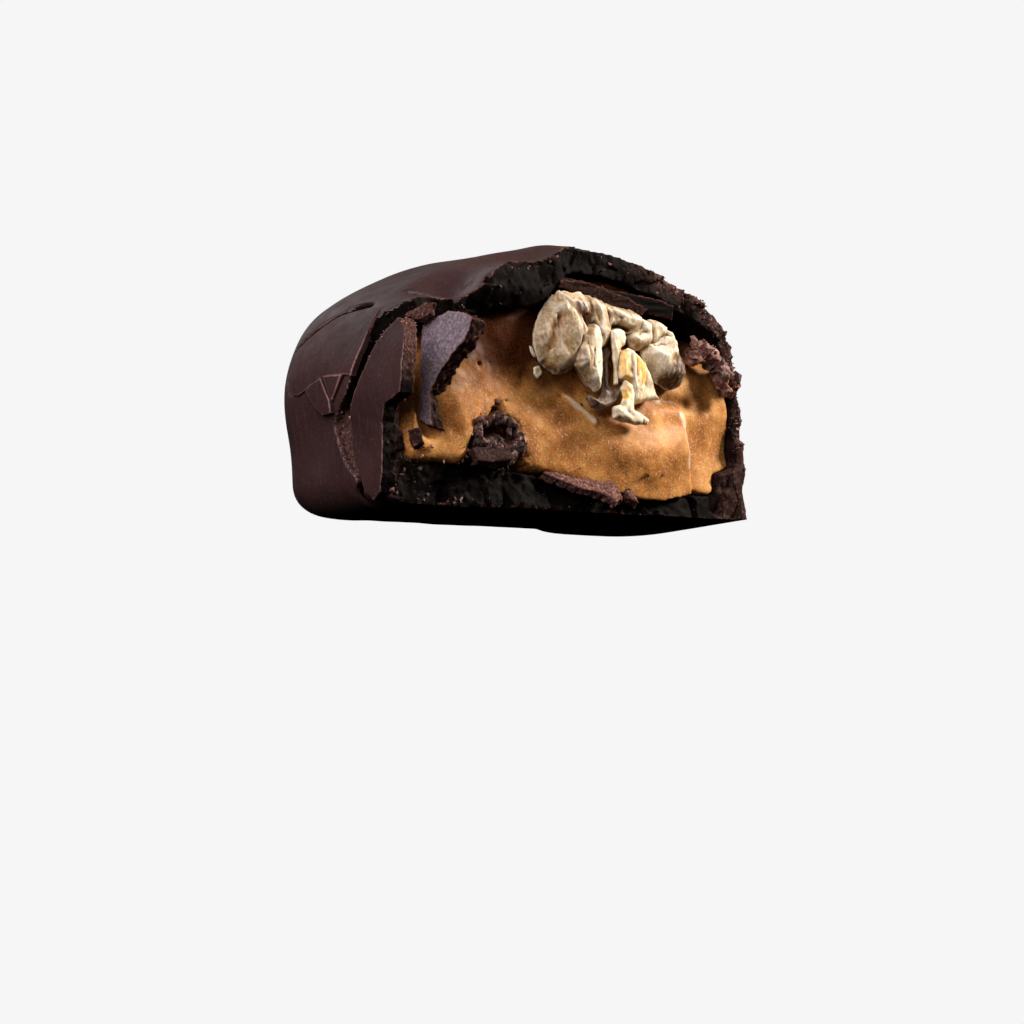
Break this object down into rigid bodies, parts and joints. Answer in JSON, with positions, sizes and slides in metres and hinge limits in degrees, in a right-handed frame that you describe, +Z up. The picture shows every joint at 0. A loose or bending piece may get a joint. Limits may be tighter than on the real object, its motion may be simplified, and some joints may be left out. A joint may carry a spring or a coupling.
{
  "type": "filled chocolate",
  "caption": "Broken half of a domed dark chocolate with soft caramel, hazelnut pieces and loose shards of its shell, standing on its flat base.",
  "frame": {"origin": "middle of the flat underside, on the face it rests on", "axes": "+X to the right along the broken face, +Y back from the broken face to the moulded end, +Z up"},
  "size_m": [0.042, 0.0186, 0.0224],
  "materials": {
    "chocolate": "satin, moulded dark chocolate",
    "broken_chocolate": "rough, broken dark chocolate",
    "caramel": "moist, soft grainy caramel",
    "nut": "waxy, broken roasted hazelnut",
    "nut_skin": "papery brown nut skin"
  },
  "bodies": {
    "root": {"shell": "chocolate", "wall_strip": "chocolate", "filling": "caramel", "nut_left": "nut", "nut_middle": "nut", "nut_spike": "nut", "nut_bridge": "nut", "nut_yellow": "nut", "nut_right": "nut", "nut_sliver": "nut", "nut_skin": "nut_skin", "large_shard": "chocolate", "shard_chip": "broken_chocolate", "top_splinter": "broken_chocolate", "roof_slab": "broken_chocolate", "base_shard": "broken_chocolate", "base_chip": "broken_chocolate", "pile_slab": "broken_chocolate", "caramel_chip": "broken_chocolate", "crumb_cluster": "broken_chocolate", "crumb_pile": "broken_chocolate"}
  },
  "joints": []
}
